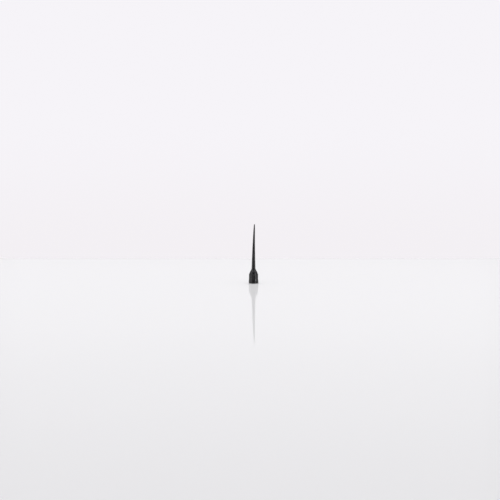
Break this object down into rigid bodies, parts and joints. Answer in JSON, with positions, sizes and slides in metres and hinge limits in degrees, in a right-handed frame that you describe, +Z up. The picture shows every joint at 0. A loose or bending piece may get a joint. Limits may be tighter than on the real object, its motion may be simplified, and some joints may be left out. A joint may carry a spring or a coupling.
{
  "type": "pipette tip",
  "caption": "Black conductive disposable tip for a liquid-handling robot: open collar with a mandrel seat, tapered shoulder and a long fine cone that ends in a small orifice.",
  "frame": {"origin": "centre of the open rim, on the plane that the tip stands on", "axes": "+Z up the axis of the collar and shoulder, from the rim to the orifice; +X towards the side that the long cone bows to by 0.76 mm"},
  "size_m": [0.0082, 0.0082, 0.0504],
  "materials": {
    "black_polypropylene": "satin black, carbon-filled, as moulded"
  },
  "bodies": {
    "root": {"moulded_tip": "black_polypropylene"}
  },
  "joints": []
}
